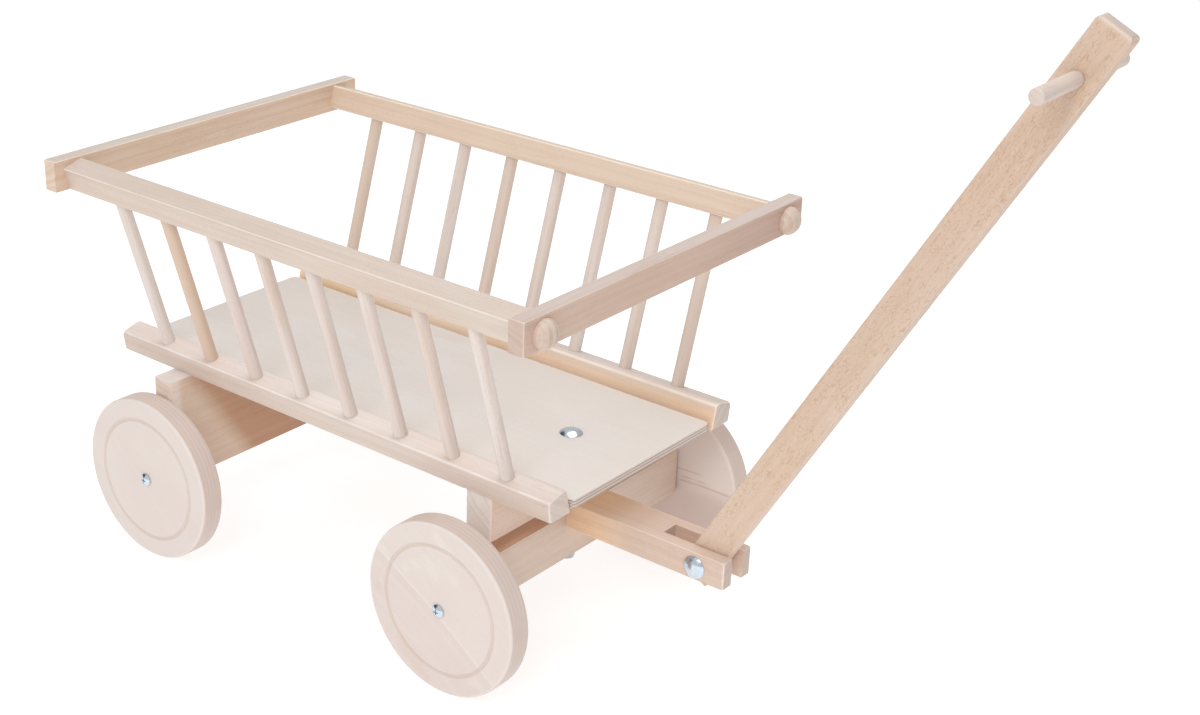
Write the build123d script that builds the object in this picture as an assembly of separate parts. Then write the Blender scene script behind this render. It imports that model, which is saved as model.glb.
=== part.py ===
from build123d import *
from math import asin, atan2, sin, cos, degrees, radians
import os

os.makedirs("parts", exist_ok=True)

# Ladder wagon: a small pulled cart of untreated beech with a plywood deck,
# two leaning ladder sides, a plank rear axle and a bolted, steered front axle.
# Frame: +X towards the pull handle, +Y to the wagon's left, +Z up, Z = 0 on the floor.
# Lengths below are millimetres, x measured from the rear wheel centre; the last
# step moves everything by X_SHIFT so that the outline's middle is at x = 0.

# ---------------------------------------------------------------- driving sizes
WHEEL_R = 79.0            # turned plywood disc wheel
WHEEL_W = 23.0
WHEEL_EDGE = 3.0          # rounding of the rim
RING_R = 59.0             # decorative ring groove on the outer face
RING_CUT = 2.5            # radius of the cutter that turns the groove
RING_DEPTH = 0.9
WHEELBASE = 358.0
AXLE_Z = WHEEL_R

DECK_TOP = 180.0
DECK_T = 8.0              # birch plywood
DECK_BOT = DECK_TOP - DECK_T
DECK_X0, DECK_X1 = -83.0, 436.5
DECK_HALF = 98.3          # it stops short of the lower rails
DECK_CORNER = 5.0
RECESS = 0.15             # shallow seat of the king bolt's head

LEAN = radians(16.7)      # ladder sides lean outwards
LADDER_Y0, LADDER_Z0 = 116.7, 181.8      # a point of the ladder's middle plane
RAIL_W = 22.0             # across the ladder plane
LOW_X0, LOW_X1 = -82.5, 437.5
# lower rail, (outward y, z, rounding) of its four long edges
LOW_SECTION = [(101.0, 170.5, 0.0), (128.0, 170.5, 3.0), (131.0, 189.6, 5.0), (107.3, 196.2, 6.0)]
LOW_END_R = 2.5
LOW_SEAT = 1.5            # spindles stand from here up the lean
UP_X0, UP_X1 = -84.3, 441.8
UP_H = 23.0
UP_DIST = 181.9           # along the lean, lower point to the upper rail's centre

SPINDLE_R = 6.0
SPINDLE_N = 8
SPINDLE_X0 = -27.6        # first spindle
SPINDLE_PITCH = 59.0
SPINDLE_SEAT = 10.0       # depth of the blind holes in the upper rail
GLUE = 0.05               # radial glue gap of a dowel in its hole

CROSS_T = 15.0            # cross rails at the two ends of the ladders
CROSS_Z0, CROSS_Z1 = 343.0, 372.0
CROSS_HALF = 192.4
BUTTON_R = 12.6           # domed wooden plug over each joint screw
BUTTON_RIM = 3.0
BUTTON_H = 11.5

REAR_T = 23.5             # tall plank that carries the rear wheels
REAR_HALF = 154.5
REAR_Z0 = 70.0
REAR_END_R = 4.5

BOLSTER_T = 28.0          # block under the deck over the front axle
BOLSTER_HALF = 123.8
BOLSTER_Z0 = 128.0
BEAM_T = 28.0             # steered axle beam
BEAM_HALF = 148.5
BEAM_Z0, BEAM_Z1 = 69.0, 113.2

TONGUE_HALF = 20.5        # forked drawbar, let into the beam
TONGUE_Z0, TONGUE_Z1 = 100.1, 125.7
TONGUE_BACK = -14.0       # from the king bolt
TONGUE_FRONT = 178.5
SLOT_HALF = 8.6
SLOT_BACK = 109.0
PIVOT_X = 149.1           # handle bolt, from the king bolt
PIVOT_Z = 111.9

HANDLE_T = 15.0
HANDLE_W = 30.0
HANDLE_UP = 584.2         # from the bolt to the top end
HANDLE_DOWN = 19.0        # from the bolt to the bottom end
HANDLE_SKEW = 1.6         # the top end is cut this much out of square over the width
HANDLE_END_R = 5.0        # its corners
HANDLE_NOSE_R = 4.5       # its end rounded over to both faces
HANDLE_ANGLE = 60.5       # stands this steep, held by the bolt's friction
GRIP_R = 6.0
GRIP_AT = 538.4
GRIP_HALF = 67.0
GRIP_NECK = 5.75          # glue relief inside the handle

BOLT_R = 4.0              # M8 coach bolts
BOLT_HEAD_R = 10.3
BOLT_HEAD_H = 4.6
RUN = 0.06                # radial running clearance on a bolt
NUT_AF = 13.0             # M8 nuts: a plain one under the king bolt,
NUT_H = 6.8
LOCK_H = 6.0              # a self-locking one, with a collar over a nylon ring, on the pivot
COLLAR_R = 6.1
COLLAR_H = 2.5
NYLON_R = 5.0
NUT_TURN = 8.6            # how the king nut's flats stand
SPRING_R = 7.3            # spring washer over the king nut
SPRING_T = 2.2
WASHER_T = 1.6
WASHER_R = 12.0
PIVOT_BOLT = 52.0
PIVOT_GAP = 0.3           # air between turning faces

SCREW_R = 3.0             # wheel screws
SCREW_HEAD_R = 6.0
SCREW_HEAD_H = 3.4
SCREW_IN = 42.0           # depth in the end grain
HUB_WASHER_T = 1.2
HUB_WASHER_R = 8.0
WHEEL_PLAY = 0.4

X_KING = WHEELBASE
X_MIN = UP_X0 - CROSS_T - BUTTON_H
SKEW = atan2(HANDLE_SKEW, HANDLE_W)
X_MAX = (X_KING + PIVOT_X + (HANDLE_UP - HANDLE_END_R * (1 + sin(SKEW)) / cos(SKEW)) * cos(radians(HANDLE_ANGLE))
         + (0.5 * HANDLE_W - HANDLE_END_R) * sin(radians(HANDLE_ANGLE)) + HANDLE_END_R)
X_SHIFT = -0.5 * (X_MIN + X_MAX)

made = {}


def keep(name, shape):
    made[name] = shape


def plank(x0, x1, y0, y1, z0, z1):
    return Pos((x0 + x1) / 2, (y0 + y1) / 2, (z0 + z1) / 2) * Box(x1 - x0, y1 - y0, z1 - z0)


def round_edges(solid, r, test=None):
    es = solid.edges() if test is None else [e for e in solid.edges() if test(e)]
    return fillet(es, r) if es else solid


def rod(p, direction, r, length):
    """Cylinder of radius r from point p along direction."""
    return Plane(origin=p, z_dir=direction) * Cylinder(r, length, align=(Align.CENTER, Align.CENTER, Align.MIN))


def along(e, axis):
    d = e % 0.5
    return abs(abs(getattr(d, axis)) - 1) < 1e-6


def prism_x(pts, x0, x1):
    """Solid of the (y, z) outline pts between x0 and x1."""
    wire = Polyline([(x0, y, z) for y, z in pts], close=True)
    return extrude(make_face(wire), amount=x1 - x0, dir=(1, 0, 0))


def flip(shape):
    return mirror(shape, about=Plane.XZ)


def dome(r, rim, h):
    """Round head along +Z from z = 0: a straight rim, then a spherical cap up to h."""
    cap = h - rim
    ball = (r * r + cap * cap) / (2 * cap)
    ang = asin(r / ball) / 2
    mid = (ball * sin(ang), h - ball + ball * cos(ang))
    prof = make_face([Line((0, 0), (r, 0)), Line((r, 0), (r, rim)),
                      ThreePointArc((r, rim), mid, (0, h)), Line((0, h), (0, 0))])
    return revolve(Plane.XZ * prof, Axis.Z, 360)


# ---------------------------------------------------------------- ladder plane
u = (sin(LEAN), cos(LEAN))       # up the lean, as (outward y, z)
n = (cos(LEAN), -sin(LEAN))      # across it, outwards


def ladder(across, up):
    """(outward y, z) of a point by its place in the ladder plane."""
    return (LADDER_Y0 + across * n[0] + up * u[0], LADDER_Z0 + across * n[1] + up * u[1])


half = RAIL_W / 2
up_out = [ladder(a, UP_DIST + b) for a, b in
          ((-half, -UP_H / 2), (half, -UP_H / 2), (half, UP_H / 2), (-half, UP_H / 2))]

spindle_xs = [SPINDLE_X0 + i * SPINDLE_PITCH for i in range(SPINDLE_N)]
sp_low, sp_high = LOW_SEAT, UP_DIST - UP_H / 2 + SPINDLE_SEAT
sp_y, sp_z = ladder(0, sp_low)
sp_len = sp_high - sp_low


def spindle_rods(r, extra=0.0):
    """The eight spindles of the left ladder, or with extra length the drills for their holes."""
    y, z = ladder(0, sp_low - extra)
    return [rod((x, y, z), (0, u[0], u[1]), r, sp_len + 2 * extra) for x in spindle_xs]


drills = spindle_rods(SPINDLE_R + GLUE)
low = prism_x([(y, z) for y, z, _ in LOW_SECTION], LOW_X0, LOW_X1)
for y, z, r in LOW_SECTION:
    if r:
        low = round_edges(low, r, lambda e: along(e, "X") and abs((e @ 0.5).Y - y) < 0.2 and abs((e @ 0.5).Z - z) < 0.2)
low = round_edges(low, LOW_END_R, lambda e: abs((e @ 0.5).X - LOW_X0) < 0.05 or abs((e @ 0.5).X - LOW_X1) < 0.05)
low = low - drills
# shallow notches over the bolster and the rear axle board
for x, t in ((0.0, REAR_T), (WHEELBASE, BOLSTER_T)):
    low = low - plank(x - t / 2 - 0.1, x + t / 2 + 0.1, 90, 140, DECK_BOT - 10, DECK_BOT)
upr = prism_x(up_out, UP_X0, UP_X1)
upr = round_edges(upr, 2.5, lambda e: along(e, "X"))
upr = upr - drills
spindles = [round_edges(s, 0.4) for s in spindle_rods(SPINDLE_R)]

for side, f in (("left", lambda s: s), ("right", flip)):
    keep("lower_rail_" + side, f(low))
    keep("upper_rail_" + side, f(upr))
    keep("spindles_" + side, Compound([f(s) for s in spindles]))

# ---------------------------------------------------------------- cross rails and plugs
up_y, up_z = ladder(0, UP_DIST)
for end, x0, face, corner in (("front", UP_X1, 1, 2.2), ("back", UP_X0 - CROSS_T, -1, 1.6)):
    rail = plank(x0, x0 + CROSS_T, -CROSS_HALF, CROSS_HALF, CROSS_Z0, CROSS_Z1)
    xf = x0 + CROSS_T if face > 0 else x0
    rail = round_edges(rail, corner, lambda e: along(e, "Z") and abs((e @ 0.5).X - xf) < 0.1)
    rail = round_edges(rail, 1.5, lambda e: abs((e @ 0.5).Z - CROSS_Z0) < 0.1 or abs((e @ 0.5).Z - CROSS_Z1) < 0.1)
    keep("cross_rail_" + end, rail)
    plugs = []
    for s in (1, -1):
        plugs.append(Plane(origin=(xf, s * up_y, up_z), z_dir=(face, 0, 0)) * dome(BUTTON_R, BUTTON_RIM, BUTTON_H))
    keep("rail_plugs_" + end, Compound(plugs))

# ---------------------------------------------------------------- deck
deck = plank(DECK_X0, DECK_X1, -DECK_HALF, DECK_HALF, DECK_BOT, DECK_TOP)
deck = round_edges(deck, DECK_CORNER, lambda e: along(e, "Z"))
deck = round_edges(deck, 0.5, lambda e: abs((e @ 0.5).Z - DECK_TOP) < 0.05)
deck = deck - rod((X_KING, 0, DECK_BOT - 1), (0, 0, 1), BOLT_R + RUN, DECK_T + 2)
deck = deck - plank(X_KING - 4.1, X_KING + 4.1, -4.1, 4.1, DECK_TOP - 5, DECK_TOP + 1)
deck = deck - rod((X_KING, 0, DECK_TOP - RECESS), (0, 0, 1), BOLT_HEAD_R + 0.1, 1)
keep("deck_board", deck)

# ---------------------------------------------------------------- rear axle
rear = plank(-REAR_T / 2, REAR_T / 2, -REAR_HALF, REAR_HALF, REAR_Z0, DECK_BOT)
rear = round_edges(rear, REAR_END_R, lambda e: along(e, "Z"))
for s in (1, -1):
    rear = rear - rod((0, s * REAR_HALF, AXLE_Z), (0, -s, 0), SCREW_R + GLUE, SCREW_IN + 1)
keep("rear_axle_board", rear)

# ---------------------------------------------------------------- front bolster and king bolt
bol = plank(X_KING - BOLSTER_T / 2, X_KING + BOLSTER_T / 2, -BOLSTER_HALF, BOLSTER_HALF, BOLSTER_Z0, DECK_BOT)
bol = round_edges(bol, 2.5, lambda e: along(e, "Z"))
bol = bol - rod((X_KING, 0, BOLSTER_Z0 - 1), (0, 0, 1), BOLT_R + GLUE, 60)
keep("front_bolster", bol)


def coach_bolt(length):
    """Coach bolt along +Z: dome on top of z = 0, square neck and shank below."""
    b = dome(BOLT_HEAD_R, 0.8, BOLT_HEAD_H)
    b = b + Pos(0, 0, -2.3) * Box(8, 8, 4.6)
    shank = Pos(0, 0, -length / 2) * Cylinder(BOLT_R, length)
    return b + chamfer(shank.edges().sort_by(Axis.Z)[0], 0.8)


def nut(h):
    """Hexagon nut along +Z, bearing face at z = 0."""
    body = extrude(RegularPolygon(NUT_AF / 2, 6, major_radius=False), h)
    body = body & (Pos(0, 0, h / 2) * chamfer(Cylinder(NUT_AF / 2 * 1.135, h).edges(), 0.7))
    return body - Cylinder(BOLT_R + 0.02, 4 * h)


def lock_nut():
    """Self-locking nut along +Z, bearing face at z = 0, and the nylon ring in its collar."""
    collar = fillet(rod((0, 0, LOCK_H - 1), (0, 0, 1), COLLAR_R, COLLAR_H + 1).edges().sort_by(Axis.Z)[-1], 0.8)
    body = nut(LOCK_H) + (collar - Cylinder(BOLT_R + 0.02, 40)) - rod((0, 0, LOCK_H), (0, 0, 1), NYLON_R, COLLAR_H + 1)
    ring = rod((0, 0, LOCK_H), (0, 0, 1), NYLON_R - 0.02, COLLAR_H - 0.3) - Cylinder(BOLT_R + 0.02, 40)
    return body, ring


def washer(r_out, r_in, t):
    return extrude(Circle(r_out) - Circle(r_in), t)


z_w = BEAM_Z0 - PIVOT_GAP - WASHER_T
z_n = z_w - SPRING_T
z_head = DECK_TOP - RECESS
keep("king_bolt", Pos(X_KING, 0, z_head) * coach_bolt(z_head - (z_n - NUT_H - 1.2)))
keep("king_spacer", Pos(X_KING, 0, TONGUE_Z1 + PIVOT_GAP)
     * washer(WASHER_R, BOLT_R + GLUE, BOLSTER_Z0 - TONGUE_Z1 - PIVOT_GAP))
keep("king_washer", Pos(X_KING, 0, z_w) * washer(WASHER_R, BOLT_R + GLUE, WASHER_T))
split = Pos(SPRING_R - 1.6, 0, SPRING_T / 2) * Rot(25, 0, 0) * Box(6, 1.1, 12)
keep("king_spring_washer", Pos(X_KING, 0, z_n) * Rot(0, 0, 150) * (washer(SPRING_R, BOLT_R + 0.1, SPRING_T) - split))
keep("king_nut", Plane(origin=(X_KING, 0, z_n), x_dir=(1, 0, 0), z_dir=(0, 0, -1)) * Rot(0, 0, NUT_TURN) * nut(NUT_H))

# ---------------------------------------------------------------- steered beam and drawbar
beam = plank(X_KING - BEAM_T / 2, X_KING + BEAM_T / 2, -BEAM_HALF, BEAM_HALF, BEAM_Z0, BEAM_Z1)
beam = round_edges(beam, 2.0, lambda e: along(e, "Z") or along(e, "X"))
beam = beam - plank(X_KING - 40, X_KING + 40, -TONGUE_HALF - GLUE, TONGUE_HALF + GLUE, TONGUE_Z0, BEAM_Z1 + 5)
beam = beam - rod((X_KING, 0, BEAM_Z0 - 1), (0, 0, 1), BOLT_R + RUN, 60)
for s in (1, -1):
    beam = beam - rod((X_KING, s * BEAM_HALF, AXLE_Z), (0, -s, 0), SCREW_R + GLUE, SCREW_IN + 1)
keep("steering_beam", beam)

tng = plank(X_KING + TONGUE_BACK, X_KING + TONGUE_FRONT, -TONGUE_HALF, TONGUE_HALF, TONGUE_Z0, TONGUE_Z1)
tng = round_edges(tng, 3.0, lambda e: along(e, "Z"))
tng = round_edges(tng, 1.2, lambda e: abs((e @ 0.5).Z - TONGUE_Z1) < 0.1 or abs((e @ 0.5).Z - TONGUE_Z0) < 0.1)
tng = tng - plank(X_KING + SLOT_BACK, X_KING + TONGUE_FRONT + 5, -SLOT_HALF, SLOT_HALF, TONGUE_Z0 - 5, TONGUE_Z1 + 5)
tng = tng - rod((X_KING, 0, TONGUE_Z0 - 1), (0, 0, 1), BOLT_R + RUN, 60)
x_p = X_KING + PIVOT_X
tng = tng - rod((x_p, -40, PIVOT_Z), (0, 1, 0), BOLT_R + GLUE, 80)
tng = tng - plank(x_p - 4.1, x_p + 4.1, -TONGUE_HALF - 1, -TONGUE_HALF + 5, PIVOT_Z - 4.1, PIVOT_Z + 4.1)
keep("drawbar_tongue", tng)

keep("pivot_bolt", Plane(origin=(x_p, -TONGUE_HALF, PIVOT_Z), z_dir=(0, -1, 0), x_dir=(1, 0, 0)) * coach_bolt(PIVOT_BOLT))
keep("pivot_washer", Plane(origin=(x_p, TONGUE_HALF, PIVOT_Z), z_dir=(0, 1, 0)) * washer(8.4, BOLT_R + GLUE, WASHER_T))
pivot_at = Plane(origin=(x_p, TONGUE_HALF + WASHER_T, PIVOT_Z), x_dir=(1, 0, 0), z_dir=(0, 1, 0))
for name, piece in zip(("pivot_nut", "pivot_nut_ring"), lock_nut()):
    keep(name, pivot_at * piece)

# ---------------------------------------------------------------- handle
hb = plank(-HANDLE_DOWN, HANDLE_UP + 5, -HANDLE_T / 2, HANDLE_T / 2, -HANDLE_W / 2, HANDLE_W / 2)
skew = Pos(HANDLE_UP, 0, -HANDLE_W / 2) * Rot(0, -degrees(SKEW), 0)
hb = hb & (skew * plank(-2 * HANDLE_UP, 0, -20, 20, -200, 200))
hb = round_edges(hb, HANDLE_END_R, lambda e: along(e, "Y") and (e @ 0.5).X > 0)
hb = round_edges(hb, 2.0, lambda e: along(e, "Y") and (e @ 0.5).X < 0)
hb = round_edges(hb, 1.5, lambda e: abs(abs((e @ 0.5).Y) - HANDLE_T / 2) < 0.05)
nose = plank(-2 * HANDLE_UP, 0, -HANDLE_T / 2, HANDLE_T / 2, -200, 200)
hb = hb & (skew * round_edges(nose, HANDLE_NOSE_R, lambda e: along(e, "Z") and abs((e @ 0.5).X) < 0.1))
hb = hb - rod((0, -40, 0), (0, 1, 0), BOLT_R + RUN, 80)
hb = hb - rod((GRIP_AT, -40, 0), (0, 1, 0), GRIP_R + GLUE, 80)
grip = rod((GRIP_AT, -GRIP_HALF, 0), (0, 1, 0), GRIP_R, 2 * GRIP_HALF)
grip = round_edges(grip, 1.5)
neck = HANDLE_T / 2 + 0.3
grip = grip - (rod((GRIP_AT, -neck, 0), (0, 1, 0), GRIP_R + 1, 2 * neck) - rod((GRIP_AT, -neck, 0), (0, 1, 0), GRIP_NECK, 2 * neck))
tilt = Pos(x_p, 0, PIVOT_Z) * Rot(0, -HANDLE_ANGLE, 0)
keep("handle_board", tilt * hb)
keep("handle_grip", tilt * grip)


# ---------------------------------------------------------------- wheels, their screws and washers
def wheel():
    """Wheel along +Z, inner face at z = 0."""
    w = Pos(0, 0, WHEEL_W / 2) * Cylinder(WHEEL_R, WHEEL_W)
    w = fillet(w.edges(), WHEEL_EDGE)
    w = w - Cylinder(SCREW_R + RUN, 4 * WHEEL_W)
    return w - Pos(0, 0, WHEEL_W + RING_CUT - RING_DEPTH) * Torus(RING_R, RING_CUT)


def wheel_screw(grip_len):
    """Screw along +Z, underside of the head at z = 0."""
    s = dome(SCREW_HEAD_R, 1.0, SCREW_HEAD_H)
    s = s + Pos(0, 0, -(grip_len + SCREW_IN) / 2) * Cylinder(SCREW_R, grip_len + SCREW_IN)
    for a in (0, 90):
        s = s - Pos(0, 0, SCREW_HEAD_H) * Rot(0, 0, a) * Box(5.2, 1.1, 3.6)
    return s


grip_len = HUB_WASHER_T + WHEEL_PLAY + WHEEL_W + 0.3
# axle, x of the wheel centre, half length of the axle
for axle, x, half_len in (("rear", 0.0, REAR_HALF), ("front", X_KING, BEAM_HALF)):
    screws, rings = [], []
    for side, s in (("left", 1), ("right", -1)):
        face = half_len + HUB_WASHER_T + WHEEL_PLAY
        frame_in = Plane(origin=(x, s * face, AXLE_Z), z_dir=(0, s, 0), x_dir=(1, 0, 0))
        keep("wheel_%s_%s" % (axle, side), frame_in * wheel())
        screws.append(Plane(origin=(x, s * (half_len + grip_len), AXLE_Z), z_dir=(0, s, 0), x_dir=(1, 0, 0)) * wheel_screw(grip_len))
        rings.append(Plane(origin=(x, s * half_len, AXLE_Z), z_dir=(0, s, 0)) * washer(HUB_WASHER_R, SCREW_R + GLUE, HUB_WASHER_T))
    keep("wheel_screws_" + axle, Compound(screws))
    keep("hub_washers_" + axle, Compound(rings))

# ---------------------------------------------------------------- write
for name, shape in made.items():
    export_step(Pos(X_SHIFT, 0, 0) * shape, "parts/%s.step" % name)
print("x_shift %.4f  king x %.4f  pivot x %.4f z %.4f  rear axle x %.4f" %
      (X_SHIFT, X_KING + X_SHIFT, x_p + X_SHIFT, PIVOT_Z, X_SHIFT))
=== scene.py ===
import math

import bpy
from mathutils import Euler, Matrix, Vector


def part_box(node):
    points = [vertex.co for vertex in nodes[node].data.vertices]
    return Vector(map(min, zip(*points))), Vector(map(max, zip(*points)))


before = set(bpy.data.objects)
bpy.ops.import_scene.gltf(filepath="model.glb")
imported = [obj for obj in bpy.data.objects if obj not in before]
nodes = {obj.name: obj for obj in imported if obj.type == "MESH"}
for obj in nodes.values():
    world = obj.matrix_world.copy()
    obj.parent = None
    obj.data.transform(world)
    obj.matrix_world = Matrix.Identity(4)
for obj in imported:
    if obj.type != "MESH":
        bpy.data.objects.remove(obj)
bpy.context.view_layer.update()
scene = bpy.context.scene


def mid(node):
    lo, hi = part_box(node)
    return (Vector(lo) + Vector(hi)) / 2


# ------------------------------------------------------------------ camera
cam_data = bpy.data.cameras.new("photo_camera")
cam_data.sensor_fit = "HORIZONTAL"
cam_data.sensor_width = 36.0
cam_data.lens = 58.311
cam_data.shift_x = 0.0583
cam_data.shift_y = 0.0
cam_data.clip_start = 0.05
cam_data.clip_end = 50.0
cam = bpy.data.objects.new("photo_camera", cam_data)
cam.location = (mid("wheel_rear_left").x + 1.276864, -1.21269, 0.92542)
cam.rotation_euler = Euler((1.15312282, -0.02485937, 0.68418357), "XYZ")
scene.collection.objects.link(cam)
scene.camera = cam

# ------------------------------------------------------------------ stage and light
FLOOR_GLOW = 0.70
WORLD = 0.742
DIM = 0.46
KEY = 31.0
TOP = 33.0

bpy.ops.mesh.primitive_plane_add(size=40, location=(0, 0, 0))
floor = bpy.context.object
floor.name = "studio_floor"
fm = bpy.data.materials.new("floor_white")
fm.use_nodes = True
fb = fm.node_tree.nodes["Principled BSDF"]
fb.inputs["Base Color"].default_value = (0.45, 0.45, 0.45, 1)
fb.inputs["Roughness"].default_value = 0.9
fb.inputs["Specular IOR Level"].default_value = 0.1
fb.inputs["Emission Color"].default_value = (1, 1, 1, 1)
fb.inputs["Emission Strength"].default_value = FLOOR_GLOW
floor.data.materials.append(fm)

world = bpy.data.worlds.new("studio_world")
scene.world = world
world.use_nodes = True
wt = world.node_tree
bg = wt.nodes["Background"]
bg.inputs["Strength"].default_value = WORLD
# the studio is a little darker towards the front and far side
wn = {k: wt.nodes.new(t) for k, t in (("at", "ShaderNodeTexCoord"), ("dot", "ShaderNodeVectorMath"), ("fall", "ShaderNodeMapRange"), ("mix", "ShaderNodeMix"))}
wn["dot"].operation = "DOT_PRODUCT"
wn["dot"].inputs[1].default_value = Vector((0.86, 0.42, -0.05)).normalized()
wt.links.new(wn["at"].outputs["Generated"], wn["dot"].inputs[0])
wn["fall"].interpolation_type = "SMOOTHSTEP"
for i, v in ((1, -0.30), (2, 0.95)):
    wn["fall"].inputs[i].default_value = v
wt.links.new(wn["dot"].outputs["Value"], wn["fall"].inputs[0])
wn["mix"].data_type = "RGBA"
wn["mix"].inputs[6].default_value = (1.0, 0.995, 0.985, 1)
wn["mix"].inputs[7].default_value = (1.0 - DIM, 0.99 - DIM, 0.975 - DIM, 1)
wt.links.new(wn["fall"].outputs[0], wn["mix"].inputs[0])
# and its unlit back part, which only the polished metal mirrors
for key, kind in (("dot2", "ShaderNodeVectorMath"), ("fall2", "ShaderNodeMapRange"), ("mix2", "ShaderNodeMix"),
                  ("path", "ShaderNodeLightPath"), ("only", "ShaderNodeMath")):
    wn[key] = wt.nodes.new(kind)
wn["dot2"].operation = "DOT_PRODUCT"
wn["dot2"].inputs[1].default_value = Vector((-0.84, -0.28, 0.30)).normalized()
wt.links.new(wn["at"].outputs["Generated"], wn["dot2"].inputs[0])
wn["fall2"].interpolation_type = "SMOOTHSTEP"
for i, v in ((1, 0.74), (2, 0.87)):
    wn["fall2"].inputs[i].default_value = v
wt.links.new(wn["dot2"].outputs["Value"], wn["fall2"].inputs[0])
wn["mix2"].data_type = "RGBA"
wn["mix2"].inputs[7].default_value = (0.09, 0.115, 0.15, 1)
wn["only"].operation = "MULTIPLY"
wt.links.new(wn["fall2"].outputs[0], wn["only"].inputs[0])
wt.links.new(wn["path"].outputs["Is Glossy Ray"], wn["only"].inputs[1])
wt.links.new(wn["only"].outputs[0], wn["mix2"].inputs[0])
wt.links.new(wn["mix"].outputs[2], wn["mix2"].inputs[6])
wt.links.new(wn["mix2"].outputs[2], bg.inputs["Color"])


def area(name, loc, target, size, power, colour=(1, 1, 1)):
    d = bpy.data.lights.new(name, "AREA")
    d.shape = "RECTANGLE"
    d.size, d.size_y = size
    d.energy = power
    d.color = colour
    o = bpy.data.objects.new(name, d)
    o.location = loc
    o.rotation_euler = (Vector(target) - Vector(loc)).to_track_quat("-Z", "Y").to_euler()
    scene.collection.objects.link(o)
    return o


area("key", (1.0, -2.5, 2.4), (0, 0, 0.2), (1.3, 1.3), KEY)
area("top", (0.2, 0.4, 3.0), (0, 0, 0.2), (2.4, 2.4), TOP)

scene.view_settings.view_transform = "Standard"


# ------------------------------------------------------------------ node helpers
class Mat:
    """A material with short calls for its nodes. Values can be sockets or numbers."""

    def __init__(self, name):
        self.m = bpy.data.materials.new(name)
        self.m.use_nodes = True
        self.t = self.m.node_tree
        self.b = self.t.nodes["Principled BSDF"]

    def node(self, kind, **attrs):
        n = self.t.nodes.new(kind)
        for k, v in attrs.items():
            setattr(n, k, v)
        return n

    def put(self, socket, v):
        if isinstance(v, bpy.types.NodeSocket):
            self.t.links.new(v, socket)
        elif v is not None:
            if socket.type == "RGBA" and len(v) == 3:
                v = (*v, 1.0)
            socket.default_value = v

    def math(self, op, a, b=None, c=None, clamp=False):
        n = self.node("ShaderNodeMath", operation=op, use_clamp=clamp)
        self.put(n.inputs[0], a)
        self.put(n.inputs[1], b)
        self.put(n.inputs[2], c)
        return n.outputs[0]

    def vec(self, op, a, b=None):
        n = self.node("ShaderNodeVectorMath", operation=op)
        self.put(n.inputs[0], a)
        if b is not None:
            self.put(n.inputs[1], b)
        return n.outputs["Value"] if op in ("DOT_PRODUCT", "LENGTH") else n.outputs["Vector"]

    def times(self, v, s):
        return self.vec("MULTIPLY", v, s)

    def shift(self, v, s):
        return self.vec("ADD", v, s)

    def split(self, v):
        n = self.node("ShaderNodeSeparateXYZ")
        self.put(n.inputs[0], v)
        return n.outputs[0], n.outputs[1], n.outputs[2]

    def join(self, x, y, z):
        n = self.node("ShaderNodeCombineXYZ")
        for i, v in enumerate((x, y, z)):
            self.put(n.inputs[i], v)
        return n.outputs[0]

    def noise(self, v, scale=1.0, detail=2.0, rough=0.5, distort=0.0):
        n = self.node("ShaderNodeTexNoise")
        self.put(n.inputs["Vector"], v)
        self.put(n.inputs["Scale"], scale)
        self.put(n.inputs["Detail"], detail)
        self.put(n.inputs["Roughness"], rough)
        self.put(n.inputs["Distortion"], distort)
        return n.outputs[0]

    def step(self, v, a, b, lo=0.0, hi=1.0):
        n = self.node("ShaderNodeMapRange", interpolation_type="SMOOTHSTEP")
        for i, q in enumerate((v, a, b, lo, hi)):
            self.put(n.inputs[i], q)
        return n.outputs[0]

    def mix(self, f, a, b, blend="MIX"):
        n = self.node("ShaderNodeMix", data_type="RGBA", blend_type=blend)
        self.put(n.inputs[0], f)
        self.put(n.inputs[6], a)
        self.put(n.inputs[7], b)
        return n.outputs[2]

    def local(self, at, along, up):
        """Object coordinates turned so that X runs along the grain and Z to the upper face; and the normal's shares."""
        x = Vector(along).normalized()
        z = Vector(up)
        z = (z - z.dot(x) * x).normalized()
        y = z.cross(x)
        rot = Matrix((x, y, z)).transposed().to_euler()
        tc = self.node("ShaderNodeTexCoord")
        mp = self.node("ShaderNodeMapping", vector_type="TEXTURE")
        mp.inputs["Location"].default_value = at
        mp.inputs["Rotation"].default_value = rot
        self.put(mp.inputs["Vector"], tc.outputs["Object"])
        n = [self.math("ABSOLUTE", self.vec("DOT_PRODUCT", tc.outputs["Normal"], tuple(a))) for a in (x, y, z)]
        return mp.outputs[0], n

    def bump(self, height, strength, distance):
        n = self.node("ShaderNodeBump")
        self.put(n.inputs["Strength"], strength)
        self.put(n.inputs["Distance"], distance)
        self.put(n.inputs["Height"], height)
        self.put(self.b.inputs["Normal"], n.outputs[0])

    def finish(self, colour, rough, spec=0.5):
        self.put(self.b.inputs["Base Color"], colour)
        self.put(self.b.inputs["Roughness"], rough)
        self.put(self.b.inputs["Specular IOR Level"], spec)
        return self.m


def shade(c, k):
    return tuple(a * b for a, b in zip(c, k))


def edge_mask(m, n):
    """One on rounded edges, nought on the flat faces and the ends."""
    big = m.math("MAXIMUM", m.math("MAXIMUM", n[0], n[1]), n[2])
    return m.step(m.math("SUBTRACT", 1.0, big), 0.09, 0.24)


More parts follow.
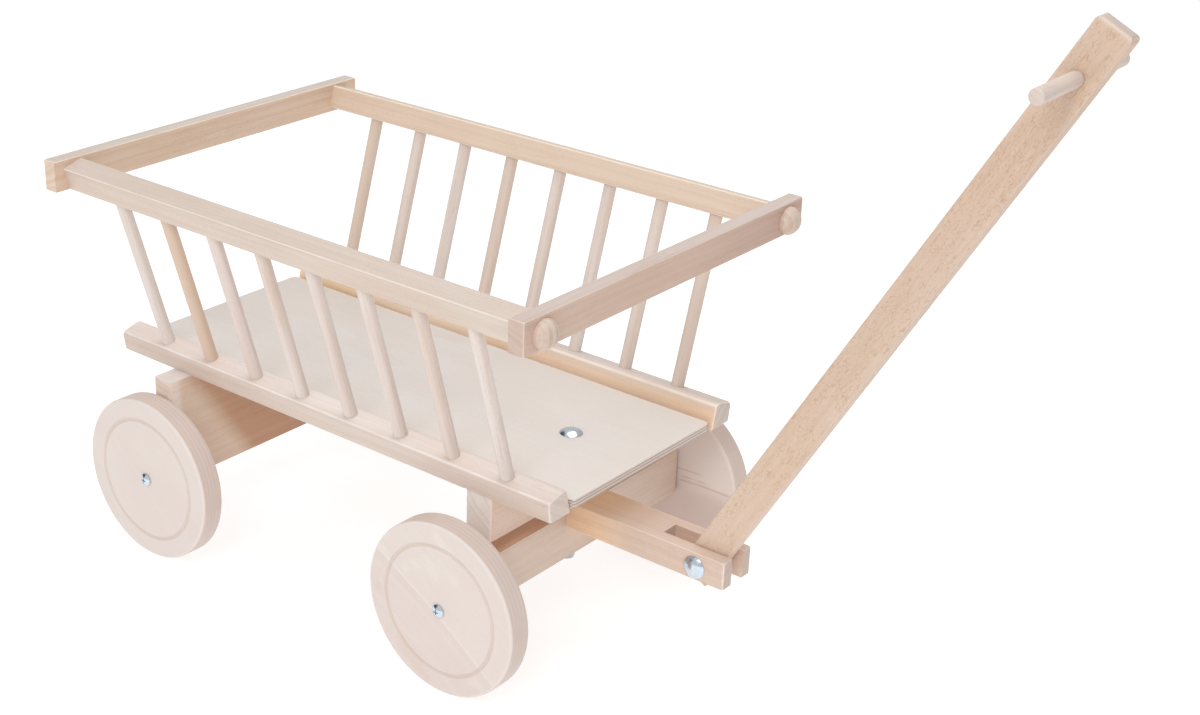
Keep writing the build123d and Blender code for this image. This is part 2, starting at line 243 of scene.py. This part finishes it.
# ------------------------------------------------------------------ solid beech
def beech(name, at, along, up, tint, seed, vary=0.5, rings=0.5, fleck=0.5, ring=0.0024,
          pith=(0.035, -0.06), end=0.6, edge=0.8, rough=0.50, round_piece=False, cell=None, end_k=(1, 1, 1), painted_top_light=None, warm=None, lines=1.0, light_and_tone_ramps=(),
          arris_highlight=(1.28, 1.40, 1.54), curl=0.0):
    """Planed beech. tint is the clean face; seed shifts the pattern; cell repeats it along local Y for a row of dowels.
    The ramps list slow changes of colour along the grain, on most pieces painted shade and painted light (a cast
    shadow, bounce light, lighter ends), on a few a plain change of tone:
    from, to, colour, slant towards the upper face, if that face keeps its colour, which side of local Y has it (0 for
    both), and if it is the same at both ends."""
    m = Mat(name)
    p, n = m.local(at, along, up)
    off = (seed * 0.731, seed * 0.417, seed * 0.283)
    hue = None
    if cell:
        x, y, z = m.split(p)
        k = m.math("FLOOR", m.math("ADD", m.math("DIVIDE", y, cell), 0.5))
        y = m.math("SUBTRACT", y, m.math("MULTIPLY", k, cell))
        wn = m.node("ShaderNodeTexWhiteNoise", noise_dimensions="1D")
        m.put(wn.inputs["W"], m.math("ADD", k, seed * 3.7))
        hue = wn.outputs["Value"]
        if warm is not None:
            hue = m.math("MAXIMUM", m.math("MULTIPLY", hue, 0.42), m.math("COMPARE", k, warm, 0.1))
        p = m.join(m.math("ADD", x, m.math("MULTIPLY", k, 0.43)), y, z)
    q = m.shift(p, off)
    # growth rings around a pith outside the board, wandering along the grain
    warp = m.math("MULTIPLY", m.math("SUBTRACT", m.noise(m.times(q, (2.6, 22, 22)), detail=2.0), 0.5), 0.016)
    _, y, z = m.split(p)
    a = m.math("ADD", y, pith[0])
    b = m.math("ADD", z, pith[1])
    r = m.math("ADD", m.math("SQRT", m.math("ADD", m.math("MULTIPLY", a, a), m.math("MULTIPLY", b, b))), warp)
    rr = m.math("DIVIDE", r, ring)
    band = m.noise(m.join(rr, seed * 1.3, m.math("MULTIPLY", rr, 0.13)), scale=0.62, detail=1.5)
    late = m.step(m.math("FRACT", rr), 0.62, 0.97)
    # fibres, ray flecks and slow clouds
    fibre = m.noise(m.times(q, (26, 720, 720)), detail=2.5, rough=0.6)
    flecks = m.step(m.noise(m.times(q, (290, 1250, 1250)), detail=0.5), 0.60, 0.70)
    gather = m.step(m.noise(m.times(q, (9, 34, 34)), detail=1.0), 0.40, 0.66)
    flecks = m.math("MULTIPLY", flecks, m.math("MULTIPLY_ADD", gather, 0.75, 0.25))
    cloud = m.noise(m.times(q, (5.5, 15, 15)), detail=2.5)

    pale = shade(tint, (1.05, 1.065, 1.09))
    pink = shade(tint, (1.00, 0.955, 0.945))
    gold = shade(tint, (0.985, 0.955, 0.88))
    dark = shade(tint, (0.82, 0.72, 0.62))
    c = m.mix(m.step(cloud, 0.34, 0.66), pink, pale)
    c = m.mix(m.math("MULTIPLY", m.step(m.noise(m.times(q, (4, 26, 26)), scale=1.7, detail=1.0), 0.45, 0.75), 0.55 * vary), c, gold)
    c = m.mix(m.math("MULTIPLY", m.step(band, 0.42, 0.72), 0.42 * rings), c, dark)
    c = m.mix(m.math("MULTIPLY", late, 0.24 * rings), c, dark)
    c = m.mix(m.math("MULTIPLY", m.step(fibre, 0.50, 0.74), 0.30 * lines), c, dark)
    streak = m.noise(m.times(q, (7, 210, 210)), detail=2.0, rough=0.55)
    c = m.mix(m.math("MULTIPLY", m.step(streak, 0.52, 0.70), 0.24 * lines), c, shade(tint, (0.88, 0.79, 0.70)))
    c = m.mix(m.math("MULTIPLY", m.step(streak, 0.48, 0.32), 0.30 * lines), c, shade(tint, (1.08, 1.10, 1.13)))
    c = m.mix(m.math("MULTIPLY", flecks, 0.42 * fleck), c, shade(tint, (0.66, 0.50, 0.38)))
    if curl:
        # small curly flecks, as on a flat sawn face
        worm = m.noise(m.times(q, (150, 330, 330)), detail=1.0, distort=0.7)
        worm = m.math("SUBTRACT", 1.0, m.step(m.math("ABSOLUTE", m.math("SUBTRACT", worm, 0.5)), 0.010, 0.045))
        worm = m.math("MULTIPLY", worm, m.step(m.noise(m.times(q, (70, 160, 160)), detail=1.0), 0.36, 0.56))
        c = m.mix(m.math("MULTIPLY", worm, curl), c, shade(tint, (0.76, 0.60, 0.47)))
    if hue is not None:
        c = m.mix(m.math("MULTIPLY", m.math("POWER", hue, 2.0), 0.80), c, shade(tint, (0.91, 0.75, 0.60)))
    # ramps: painted shade and painted light on most pieces (a cast shadow, bounce light, lighter ends), a plain change
    # of tone on a few
    top = c
    for x0, x1, k, slant, keep, side, both in light_and_tone_ramps:
        px, py, pz = m.split(p)
        if both:
            px = m.math("MULTIPLY", m.math("ABSOLUTE", px), -1.0)
        f = m.step(m.math("MULTIPLY_ADD", pz, slant, px), x0, x1)
        if side:
            f = m.math("MULTIPLY", f, m.step(m.math("MULTIPLY", py, side), -0.003, 0.003))
        c = m.mix(f, c, m.mix(1.0, c, k, "MULTIPLY"))
        top = top if keep else c
    # painted light on the upper faces: their own tint, paler and greyer on most pieces as sheen from the lamps above,
    # warmer on the steering beam as bounce light
    if painted_top_light:
        c = m.mix(m.step(n[2], 0.80, 0.97), c, m.mix(1.0, top, painted_top_light, "MULTIPLY"))
    # end grain: browner, with rings and pores seen end on
    cut = m.step(n[0], 0.72, 0.97)
    pores = m.noise(m.times(q, (60, 1400, 1400)), detail=1.0)
    rays = m.noise(m.join(m.math("MULTIPLY", m.math("ARCTAN2", b, a), 60.0), m.math("MULTIPLY", rr, 0.16), seed), scale=1.0, detail=1.0)
    butt = shade(tint, end_k)
    deep = min(1.0, 0.25 + rings)
    e = m.mix(m.math("MULTIPLY", m.step(band, 0.36, 0.70), deep), shade(butt, (1.02, 1.02, 1.02)), shade(butt, (0.84, 0.77, 0.71)))
    e = m.mix(m.math("MULTIPLY", late, 0.35 * deep), e, shade(butt, (0.78, 0.70, 0.63)))
    e = m.mix(m.math("MULTIPLY", m.step(pores, 0.50, 0.78), 0.40), e, shade(butt, (0.72, 0.65, 0.58)))
    e = m.mix(m.math("MULTIPLY", m.step(rays, 0.55, 0.75), 0.25), e, pale)
    c = m.mix(m.math("MULTIPLY", cut, end), c, e)
    # painted highlight along the rounded arrises, broken up by noise
    if not round_piece:
        edge_highlight = m.math("MULTIPLY", edge_mask(m, n), m.step(m.noise(m.times(q, (40, 40, 40)), detail=2.0), 0.25, 0.60, 0.55, 1.0))
        c = m.mix(m.math("MULTIPLY", edge_highlight, edge), c, shade(tint, arris_highlight))
    h = m.math("ADD", m.math("MULTIPLY", fibre, 0.8), m.math("MULTIPLY", flecks, -0.5))
    h = m.math("ADD", h, m.math("MULTIPLY", m.math("MULTIPLY", pores, cut), 0.7))
    m.bump(h, 0.22, 0.0003)
    ro = m.math("ADD", m.math("MULTIPLY_ADD", fibre, 0.16, rough - 0.08), m.math("MULTIPLY", m.math("SUBTRACT", cloud, 0.5), 0.14))
    return m.finish(c, ro)


# ------------------------------------------------------------------ plywood
def ply_edge(m, t, seed, cross, tint, dark=(0.86, 0.78, 0.69)):
    """Layers of plywood along t, counted in plies. cross is one where the view is along the odd plies' grain."""
    k = m.math("FLOOR", t)
    f = m.math("FRACT", t)
    odd = m.math("FLOORED_MODULO", m.math("ADD", k, cross), 2.0)
    wn = m.node("ShaderNodeTexWhiteNoise", noise_dimensions="1D")
    m.put(wn.inputs["W"], m.math("ADD", k, seed))
    c = m.mix(odd, shade(tint, (1.02, 1.0, 0.98)), shade(tint, dark))
    c = m.mix(m.math("MULTIPLY", wn.outputs["Value"], 0.35), c, shade(tint, (0.90, 0.83, 0.78)))
    glue = m.math("SUBTRACT", 1.0, m.step(m.math("PINGPONG", f, 0.5), 0.03, 0.13))
    return c, odd, glue


def ply_board(name, at, tint, edge_tint, seed, plies, z0, z1, grain=0.0):
    m = Mat(name)
    p, n = m.local(at, (math.cos(grain), math.sin(grain), 0), (0, 0, 1))
    q = m.shift(p, (seed * 0.73, seed * 0.31, seed * 0.11))
    # rotary cut face: broad wandering flames, soft clouds, fine short pores
    warp = m.noise(m.times(q, (2.2, 7.0, 7.0)), detail=3.0, rough=0.55)
    flame = m.noise(m.join(m.math("MULTIPLY", warp, 17.0), seed, 0.0), scale=1.0, detail=1.0)
    cloud = m.noise(m.times(q, (7, 11, 11)), detail=3.0)
    fine = m.noise(m.times(q, (34, 620, 620)), detail=2.0, rough=0.6)
    pore = m.step(m.noise(m.times(q, (260, 2100, 2100)), detail=0.0), 0.64, 0.74)
    c = m.mix(m.step(cloud, 0.32, 0.68), shade(tint, (1.0, 0.985, 0.965)), shade(tint, (1.025, 1.035, 1.045)))
    c = m.mix(m.math("MULTIPLY", m.step(flame, 0.50, 0.68), 0.22), c, shade(tint, (0.93, 0.88, 0.82)))
    c = m.mix(m.math("MULTIPLY", m.step(fine, 0.46, 0.80), 0.16), c, shade(tint, (0.86, 0.80, 0.74)))
    c = m.mix(m.math("MULTIPLY", pore, 0.16), c, shade(tint, (0.72, 0.64, 0.56)))
    x, _, z = m.split(p)
    # painted light: the deck lighter towards its front end
    c = m.mix(m.step(x, -0.02, 0.26), c, m.mix(1.0, c, (1.09, 1.09, 1.09), "MULTIPLY"))
    t = m.math("MULTIPLY", m.math("DIVIDE", m.math("SUBTRACT", z, z0), z1 - z0), plies)
    t = m.math("ADD", t, m.math("MULTIPLY", m.math("SUBTRACT", m.noise(m.times(q, (9, 9, 60)), detail=1.0), 0.5), 0.16))
    side = m.step(m.math("SUBTRACT", n[0], n[1]), -0.05, 0.05)
    e, odd, glue = ply_edge(m, t, seed, side, edge_tint, (0.60, 0.52, 0.49))
    spots = m.noise(m.times(q, (520, 520, 1300)), detail=1.0)
    e = m.mix(m.math("MULTIPLY", m.math("MULTIPLY", m.step(spots, 0.50, 0.75), odd), 0.45), e, shade(edge_tint, (0.66, 0.56, 0.47)))
    e = m.mix(m.math("MULTIPLY", glue, 0.55), e, (0.30, 0.245, 0.225))
    flat = m.step(n[2], 0.55, 0.93)
    c = m.mix(flat, e, c)
    h = m.math("ADD", m.math("MULTIPLY", fine, 0.7), m.math("MULTIPLY", m.math("MULTIPLY", glue, m.math("SUBTRACT", 1.0, flat)), -1.0))
    m.bump(h, 0.16, 0.0003)
    ro = m.math("ADD", m.math("MULTIPLY_ADD", fine, 0.12, 0.47), m.math("MULTIPLY", m.math("SUBTRACT", cloud, 0.5), 0.18))
    return m.finish(c, ro)


def ply_wheel(name, at, tint, seed, angle, band=0.5, strokes=(), out=1.0, face=1.0, width=0.023, radius=0.079, groove=0.059):
    """Disc of plywood on its side: faces across local Z, the veneer's grain at angle. strokes are patches on the outer face, or on the inner one
    if face is -1: place, half width, from, to, colour."""
    m = Mat(name)
    p, n = m.local(at, (math.cos(angle), 0, math.sin(angle)), (0, -1, 0))
    q = m.shift(p, (seed * 0.57, seed * 0.33, seed * 0.19))
    x, y, z = m.split(p)
    r = m.math("SQRT", m.math("ADD", m.math("MULTIPLY", x, x), m.math("MULTIPLY", y, y)))
    # long veneer stripes with a few hard borders, clouds, pores
    sway = m.math("MULTIPLY", m.math("SUBTRACT", m.noise(m.times(q, (5, 9, 3)), detail=1.5), 0.5), 0.030)
    v = m.math("ADD", y, sway)
    stripe = m.noise(m.join(seed, m.math("MULTIPLY", v, 34.0), 0.0), scale=1.0, detail=1.0)
    cloud = m.noise(m.times(q, (11, 20, 4)), detail=3.0)
    fine = m.noise(m.times(q, (34, 560, 4)), detail=2.0, rough=0.6)
    pore = m.step(m.noise(m.times(q, (240, 1900, 10)), detail=0.0), 0.65, 0.75)
    c = m.mix(m.step(cloud, 0.30, 0.70), shade(tint, (1.0, 0.975, 0.965)), shade(tint, (1.025, 1.03, 1.03)))
    c = m.mix(m.math("MULTIPLY", m.step(stripe, 0.46, 0.53), 0.35 * band), c, shade(tint, (1.05, 1.07, 1.075)))
    c = m.mix(m.math("MULTIPLY", m.step(stripe, 0.60, 0.64), 0.35 * band), c, shade(tint, (0.95, 0.91, 0.87)))
    # a joint of two veneers just below the centre: pinker below, a bright line on it
    below = m.step(v, -0.0050, -0.0060)
    c = m.mix(m.math("MULTIPLY", below, 0.40 * band), c, shade(tint, (0.985, 0.935, 0.925)))
    c = m.mix(m.math("MULTIPLY", m.math("SUBTRACT", 1.0, below), 0.30 * band), c, shade(tint, (1.0, 0.99, 0.955)))
    line = m.math("SUBTRACT", 1.0, m.step(m.math("ABSOLUTE", m.math("ADD", v, 0.0055)), 0.0004, 0.0021))
    c = m.mix(m.math("MULTIPLY", line, 0.55 * band), c, shade(tint, (1.10, 1.15, 1.20)))
    for y0, w, x0, x1, k in strokes:
        s = m.math("SUBTRACT", 1.0, m.step(m.math("ABSOLUTE", m.math("SUBTRACT", v, y0)), w * 0.35, w))
        s = m.math("MULTIPLY", s, m.math("MULTIPLY", m.step(x, x0, x0 + 0.010), m.step(x, x1, x1 - 0.010)))
        s = m.math("MULTIPLY", s, m.math("GREATER_THAN", m.math("MULTIPLY", z, out * face), 0.0))
        if w < 0.03:
            s = m.math("MULTIPLY", s, m.step(m.noise(m.times(q, (60, 60, 4)), detail=2.0), 0.30, 0.50))
        c = m.mix(m.math("MULTIPLY", s, 0.60), c, shade(tint, k))
    c = m.mix(m.math("MULTIPLY", m.step(fine, 0.46, 0.80), 0.13), c, shade(tint, (0.86, 0.80, 0.76)))
    c = m.mix(m.math("MULTIPLY", pore, 0.12), c, shade(tint, (0.74, 0.66, 0.60)))
    # the turned groove cuts into the next ply
    g = m.math("SUBTRACT", 1.0, m.step(m.math("ABSOLUTE", m.math("SUBTRACT", r, groove)), 0.0004, 0.0014))
    g = m.math("MULTIPLY", g, m.math("GREATER_THAN", m.math("MULTIPLY", z, out), 0.0))
    c = m.mix(m.math("MULTIPLY", g, 0.55), c, shade(tint, (0.87, 0.76, 0.65)))
    # plies on the tread and, as rings, on the rounded rim
    plies = 11.0
    t = m.math("MULTIPLY", m.math("DIVIDE", m.math("ADD", z, width / 2), width), plies)
    around = m.join(m.math("MULTIPLY", m.math("ARCTAN2", y, x), 0.079), z, r)
    t = m.math("ADD", t, m.math("MULTIPLY", m.math("SUBTRACT", m.noise(m.times(around, (9, 30, 9)), detail=1.0), 0.5), 0.22))
    turn = m.math("ARCTAN2", y, x)
    cross = m.step(m.math("ABSOLUTE", m.math("COSINE", turn)), 0.55, 0.85)
    e, odd, glue = ply_edge(m, t, seed, cross, shade(tint, (0.985, 0.955, 0.93)))
    spots = m.noise(m.times(around, (420, 1300, 420)), detail=1.0)
    e = m.mix(m.math("MULTIPLY", m.math("MULTIPLY", m.step(spots, 0.50, 0.75), odd), 0.30), e, shade(tint, (0.70, 0.60, 0.53)))
    e = m.mix(0.68, e, shade(tint, (0.94, 0.895, 0.875)))
    e = m.mix(m.math("MULTIPLY", glue, 0.12), e, shade(tint, (0.60, 0.50, 0.45)))
    flat = m.step(n[2], 0.60, 0.985)
    c = m.mix(flat, e, c)
    # painted highlight on the rounded rim
    rim = m.math("MULTIPLY", m.step(n[2], 0.25, 0.60), m.math("SUBTRACT", 1.0, m.step(n[2], 0.93, 0.995)))
    rim = m.math("MULTIPLY", rim, m.step(r, radius - 0.006, radius - 0.003))
    c = m.mix(m.math("MULTIPLY", rim, 0.70), c, shade(tint, (1.12, 1.14, 1.14)))
    h = m.math("ADD", m.math("MULTIPLY", fine, 0.7), m.math("MULTIPLY", m.math("MULTIPLY", glue, m.math("SUBTRACT", 1.0, flat)), -0.7))
    m.bump(h, 0.14, 0.0003)
    ro = m.math("ADD", m.math("MULTIPLY_ADD", fine, 0.12, 0.46), m.math("MULTIPLY", m.math("SUBTRACT", cloud, 0.5), 0.16))
    return m.finish(c, ro)


# ------------------------------------------------------------------ metal and nylon
def zinc(name, at, axis, seed, rough=0.17, dim=1.0):
    """Bright zinc plate: faint turning marks around the axis, soft clouds, dull pits."""
    m = Mat(name)
    p, n = m.local(at, axis, (0.31, 0.17, 0.93))
    x, y, z = m.split(p)
    r = m.math("SQRT", m.math("ADD", m.math("MULTIPLY", y, y), m.math("MULTIPLY", z, z)))
    lathe = m.noise(m.join(m.math("MULTIPLY", r, 2600.0), m.math("MULTIPLY", x, 900.0), seed), detail=1.0)
    cloud = m.noise(m.shift(m.times(p, (260, 260, 260)), (seed, seed, 0)), detail=3.0)
    pits = m.step(m.noise(m.times(p, (1500, 1500, 1500)), detail=1.0), 0.62, 0.74)
    c = m.mix(m.step(cloud, 0.3, 0.7), shade((0.60, 0.68, 0.77), (dim,) * 3), shade((0.66, 0.73, 0.80), (dim,) * 3))
    c = m.mix(m.math("MULTIPLY", pits, 0.25), c, (0.42, 0.45, 0.50))
    m.b.inputs["Metallic"].default_value = 1.0
    m.bump(m.math("ADD", lathe, m.math("MULTIPLY", pits, -0.6)), 0.10, 0.0001)
    ro = m.math("ADD", m.math("MULTIPLY_ADD", cloud, 0.08, rough - 0.04), m.math("MULTIPLY", pits, 0.12))
    return m.finish(c, ro, 0.5)


def nylon(name):
    m = Mat(name)
    tc = m.node("ShaderNodeTexCoord")
    cloud = m.noise(tc.outputs["Object"], scale=420.0, detail=2.0)
    c = m.mix(m.step(cloud, 0.3, 0.7), (0.74, 0.75, 0.72), (0.82, 0.83, 0.80))
    m.b.inputs["Subsurface Weight"].default_value = 0.15
    m.b.inputs["Subsurface Radius"].default_value = (0.002, 0.002, 0.002)
    m.bump(cloud, 0.1, 0.0001)
    return m.finish(c, m.math("MULTIPLY_ADD", cloud, 0.2, 0.3), 0.4)


def give(node, material):
    o = nodes[node]
    if not o.material_slots:
        o.data.materials.append(material)
    for s in o.material_slots:
        s.material = material


# ------------------------------------------------------------------ what each piece is made of
LEAN = math.radians(16.7)
HANDLE = math.radians(60.5)
up_l, up_r = (0, math.sin(LEAN), math.cos(LEAN)), (0, -math.sin(LEAN), math.cos(LEAN))
RAIL = (0.640, 0.535, 0.455)
BOARD = (0.645, 0.500, 0.395)
PLUG = (0.640, 0.525, 0.445)
DOWEL = (0.715, 0.638, 0.592)
DECK = (0.690, 0.640, 0.607)
DECK_EDGE = (0.735, 0.660, 0.612)
WHEEL = (0.712, 0.632, 0.596)

# far lower rail: its third ramp is painted bounce light, a warmer and lighter lower part of the inner face; the first
# two make the back part paler, then the last bit yellower
give("lower_rail_left", beech("beech_lower_left", mid("lower_rail_left"), (1, 0, 0), (0, 0, 1), shade(RAIL, (1.14, 1.15, 1.12)), 1.0, pith=(0.05, -0.05), painted_top_light=(0.89, 0.93, 1.02), end_k=(0.70, 0.80, 0.98),
                               light_and_tone_ramps=((0.00, -0.10, (1.02, 1.08, 1.13), 0.0, False, 0, False), (-0.12, -0.20, (0.98, 0.92, 0.80), 0.0, False, 0, False),
                                     (12.0, 1.0, (1.17, 1.06, 0.95), 1000.0, True, -1.0, False)), arris_highlight=(1.24, 1.32, 1.46)))
give("lower_rail_right", beech("beech_lower_right", mid("lower_rail_right"), (1, 0, 0), (0, 0, 1), shade(RAIL, (1.03, 1.05, 1.09)), 2.3, pith=(-0.04, -0.07), rings=0.35, painted_top_light=(1.12, 1.18, 1.25), end=0.7, end_k=(1.10, 1.14, 1.20)))
give("upper_rail_left", beech("beech_upper_left", mid("upper_rail_left"), (1, 0, 0), up_l, shade(RAIL, (1.10, 1.05, 0.98)), 3.1, pith=(0.02, -0.05), rings=0.6, painted_top_light=(0.92, 0.99, 1.05)))
give("upper_rail_right", beech("beech_upper_right", mid("upper_rail_right"), (1, 0, 0), up_r, shade(RAIL, (1.01, 1.03, 1.05)), 4.7, pith=(-0.05, -0.045), painted_top_light=(0.95, 0.96, 0.98)))
give("cross_rail_front", beech("beech_cross_front", mid("cross_rail_front"), (0, 1, 0), (0, 0, 1), shade(RAIL, (0.955, 0.855, 0.82)), 5.9, pith=(0.03, -0.06), painted_top_light=(0.95, 1.08, 1.20), end_k=(0.94, 1.03, 1.12), lines=1.3,
                               light_and_tone_ramps=((0.0, 0.17, (0.86, 0.80, 0.80), 0.0, True, 0, False),)))
give("cross_rail_back", beech("beech_cross_back", mid("cross_rail_back"), (0, 1, 0), (0, 0, 1), shade(RAIL, (1.12, 1.05, 0.97)), 6.4, pith=(-0.03, -0.05), rings=0.8, painted_top_light=(0.83, 0.95, 1.09), end_k=(1.0, 1.05, 1.10), lines=1.3))
# rear axle board: painted shadow, darker across the middle of the front face with a slanted border as under the deck;
# painted light on a strip near each end of that face and on the paler top and end faces
give("rear_axle_board", beech("beech_rear_board", mid("rear_axle_board"), (0, 1, 0), (0, 0, 1), shade(BOARD, (1.053, 1.079, 1.071)), 7.2, pith=(0.03, -0.12), rings=0.6, painted_top_light=(1.14, 1.355, 1.70), end=0.95, end_k=(1.17, 1.24, 1.39),
                              light_and_tone_ramps=((-0.110, -0.081, (0.741, 0.538, 0.420), 0.69, True, -1.0, True), (-0.139, -0.147, (1.13, 1.24, 1.38), 0.0, True, -1.0, True)),
                              edge=0.4, arris_highlight=(1.11, 1.05, 1.03)))
# front bolster: its end faces get a much paler tint, as painted light
give("front_bolster", beech("beech_bolster", mid("front_bolster"), (0, 1, 0), (0, 0, 1), shade(BOARD, (1.13, 1.12, 1.15)), 8.8, pith=(0.05, -0.06), rings=0.25, end=0.95, end_k=(1.16, 1.41, 1.65)))
give("steering_beam", beech("beech_beam", mid("steering_beam"), (0, 1, 0), (0, 0, 1), shade(BOARD, (1.05, 1.09, 1.15)), 9.6, pith=(-0.04, -0.08), painted_top_light=(1.02, 0.83, 0.68)))
# tongue: its ramp is painted bounce light, a warmer and lighter back part near the bolster
give("drawbar_tongue", beech("beech_tongue", mid("drawbar_tongue"), (1, 0, 0), (0, 0, 1), shade(BOARD, (1.06, 1.07, 1.11)), 10.3, pith=(0.06, -0.05), rings=0.6, painted_top_light=(0.99, 1.00, 1.02), end_k=(0.75, 0.84, 0.96),
                            light_and_tone_ramps=((0.005, -0.045, (1.40, 1.33, 1.13), 0.0, False, 0, False),)))
# handle: its ramp is painted light, a lighter lower end
give("handle_board", beech("beech_handle", mid("handle_board"), (math.cos(HANDLE), 0, math.sin(HANDLE)), (0, 1, 0), shade(BOARD, (0.98, 0.97, 0.96)), 11.5, pith=(0.01, -0.09), rings=0.35, fleck=0.8, curl=0.60, end=0.9, end_k=(0.90, 1.00, 1.18), arris_highlight=(1.04, 1.13, 1.27), light_and_tone_ramps=((0.02, -0.26, (1.13, 1.17, 1.20), 0.0, False, 0, False),)))
give("handle_grip", beech("beech_grip", mid("handle_grip"), (0, 1, 0), (0, 0, 1), shade(DOWEL, (0.92, 0.90, 0.88)), 12.9, pith=(0.01, -0.03), round_piece=True, end=0.35))

for side, up in (("left", up_l), ("right", up_r)):
    lo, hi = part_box("spindles_" + side)
    first = Vector((lo[0] + 0.006, (lo[1] + hi[1]) / 2, (lo[2] + hi[2]) / 2))
    pitch = (hi[0] - lo[0] - 0.012) / 7
    across = (1, 0, 0)
    # local Y runs against X here, so the row counts 0, -1, -2 from the back
    z = Vector(across).cross(Vector(up))
    give("spindles_" + side, beech("beech_spindles_" + side, first, up, z, DOWEL, 13.7 if side == "left" else 15.1,
                                   pith=(0.012, -0.022), round_piece=True, cell=pitch, lines=1.5,
                                   warm=-1.0 if side == "right" else None))
for end, seed in (("front", 16.6), ("back", 18.2)):
    give("rail_plugs_" + end, beech("beech_plugs_" + end, mid("rail_plugs_" + end), (1, 0, 0), (0, 0, 1), PLUG, seed,
                                    pith=(0.006, 0.004), ring=0.0022, round_piece=True, end=0.9, rings=1.2, lines=1.6))

lo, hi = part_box("deck_board")
deck_mid = mid("deck_board")
give("deck_board", ply_board("ply_deck", deck_mid, DECK, DECK_EDGE, 2.7, 6.0, lo[2] - deck_mid.z, hi[2] - deck_mid.z))

PALE, YELLOW, TAN = (1.09, 1.12, 1.13), (1.07, 1.10, 1.03), (0.94, 0.87, 0.80)
strokes = {"wheel_front_right": ((0.004, 0.007, -0.056, -0.036, YELLOW), (0.016, 0.008, -0.053, -0.024, YELLOW),
                                 (0.028, 0.008, -0.044, -0.010, YELLOW), (0.039, 0.007, -0.030, 0.004, YELLOW),
                                 (-0.002, 0.006, -0.085, -0.060, YELLOW), (-0.037, 0.012, -0.075, -0.045, TAN),
                                 (0.056, 0.006, -0.048, -0.014, PALE), (-0.064, 0.010, -0.032, 0.036, TAN),
                                 (-0.026, 0.010, 0.052, 0.080, YELLOW)),
           # far front wheel, inner face: painted shade on the lower half and painted light on the upper half, then
           # three thin veneer lines
           "wheel_front_left": ((-0.036, 0.052, -0.095, 0.095, (0.74, 0.64, 0.59)), (0.036, 0.045, -0.095, 0.095, (1.14, 1.19, 1.20)),
                                (0.0075, 0.0016, 0.004, 0.078, (0.80, 0.58, 0.48)), (0.012, 0.0012, 0.012, 0.050, (0.84, 0.66, 0.56)),
                                (0.020, 0.0012, -0.010, 0.045, (0.86, 0.72, 0.64)))}
# the far front wheel gets a darker copy of the wheel colour, as painted shade
for node, seed, ang, band in (("wheel_front_right", 3.4, -33.0, 1.0), ("wheel_rear_right", 5.2, -40.0, 0.2),
                              ("wheel_front_left", 7.9, 2.0, 0.0), ("wheel_rear_left", 9.3, 70.0, 0.4)):
    give(node, ply_wheel("ply_" + node, mid(node), shade(WHEEL, (0.96, 0.93, 0.92)) if node == "wheel_front_left" else WHEEL, seed, math.radians(ang), band, strokes.get(node, ()), 1.0 if "right" in node else -1.0,
                         -1.0 if node == "wheel_front_left" else 1.0))

# the nut and spring washer under the beam get a darker zinc colour
for node, axis, seed in (("king_bolt", (0, 0, 1), 1.0), ("king_nut", (0, 0, 1), 2.0), ("king_spring_washer", (0, 0, 1), 3.0),
                         ("king_washer", (0, 0, 1), 4.0), ("king_spacer", (0, 0, 1), 5.0), ("pivot_bolt", (0, 1, 0), 6.0),
                         ("pivot_nut", (0, 1, 0), 7.0), ("pivot_washer", (0, 1, 0), 8.0), ("wheel_screws_front", (0, 1, 0), 9.0),
                         ("wheel_screws_rear", (0, 1, 0), 10.0), ("hub_washers_front", (0, 1, 0), 11.0), ("hub_washers_rear", (0, 1, 0), 12.0)):
    give(node, zinc("zinc_" + node, mid(node), axis, seed, dim=0.62 if node in ("king_nut", "king_spring_washer") else 1.0))
give("pivot_nut_ring", nylon("nylon_ring"))
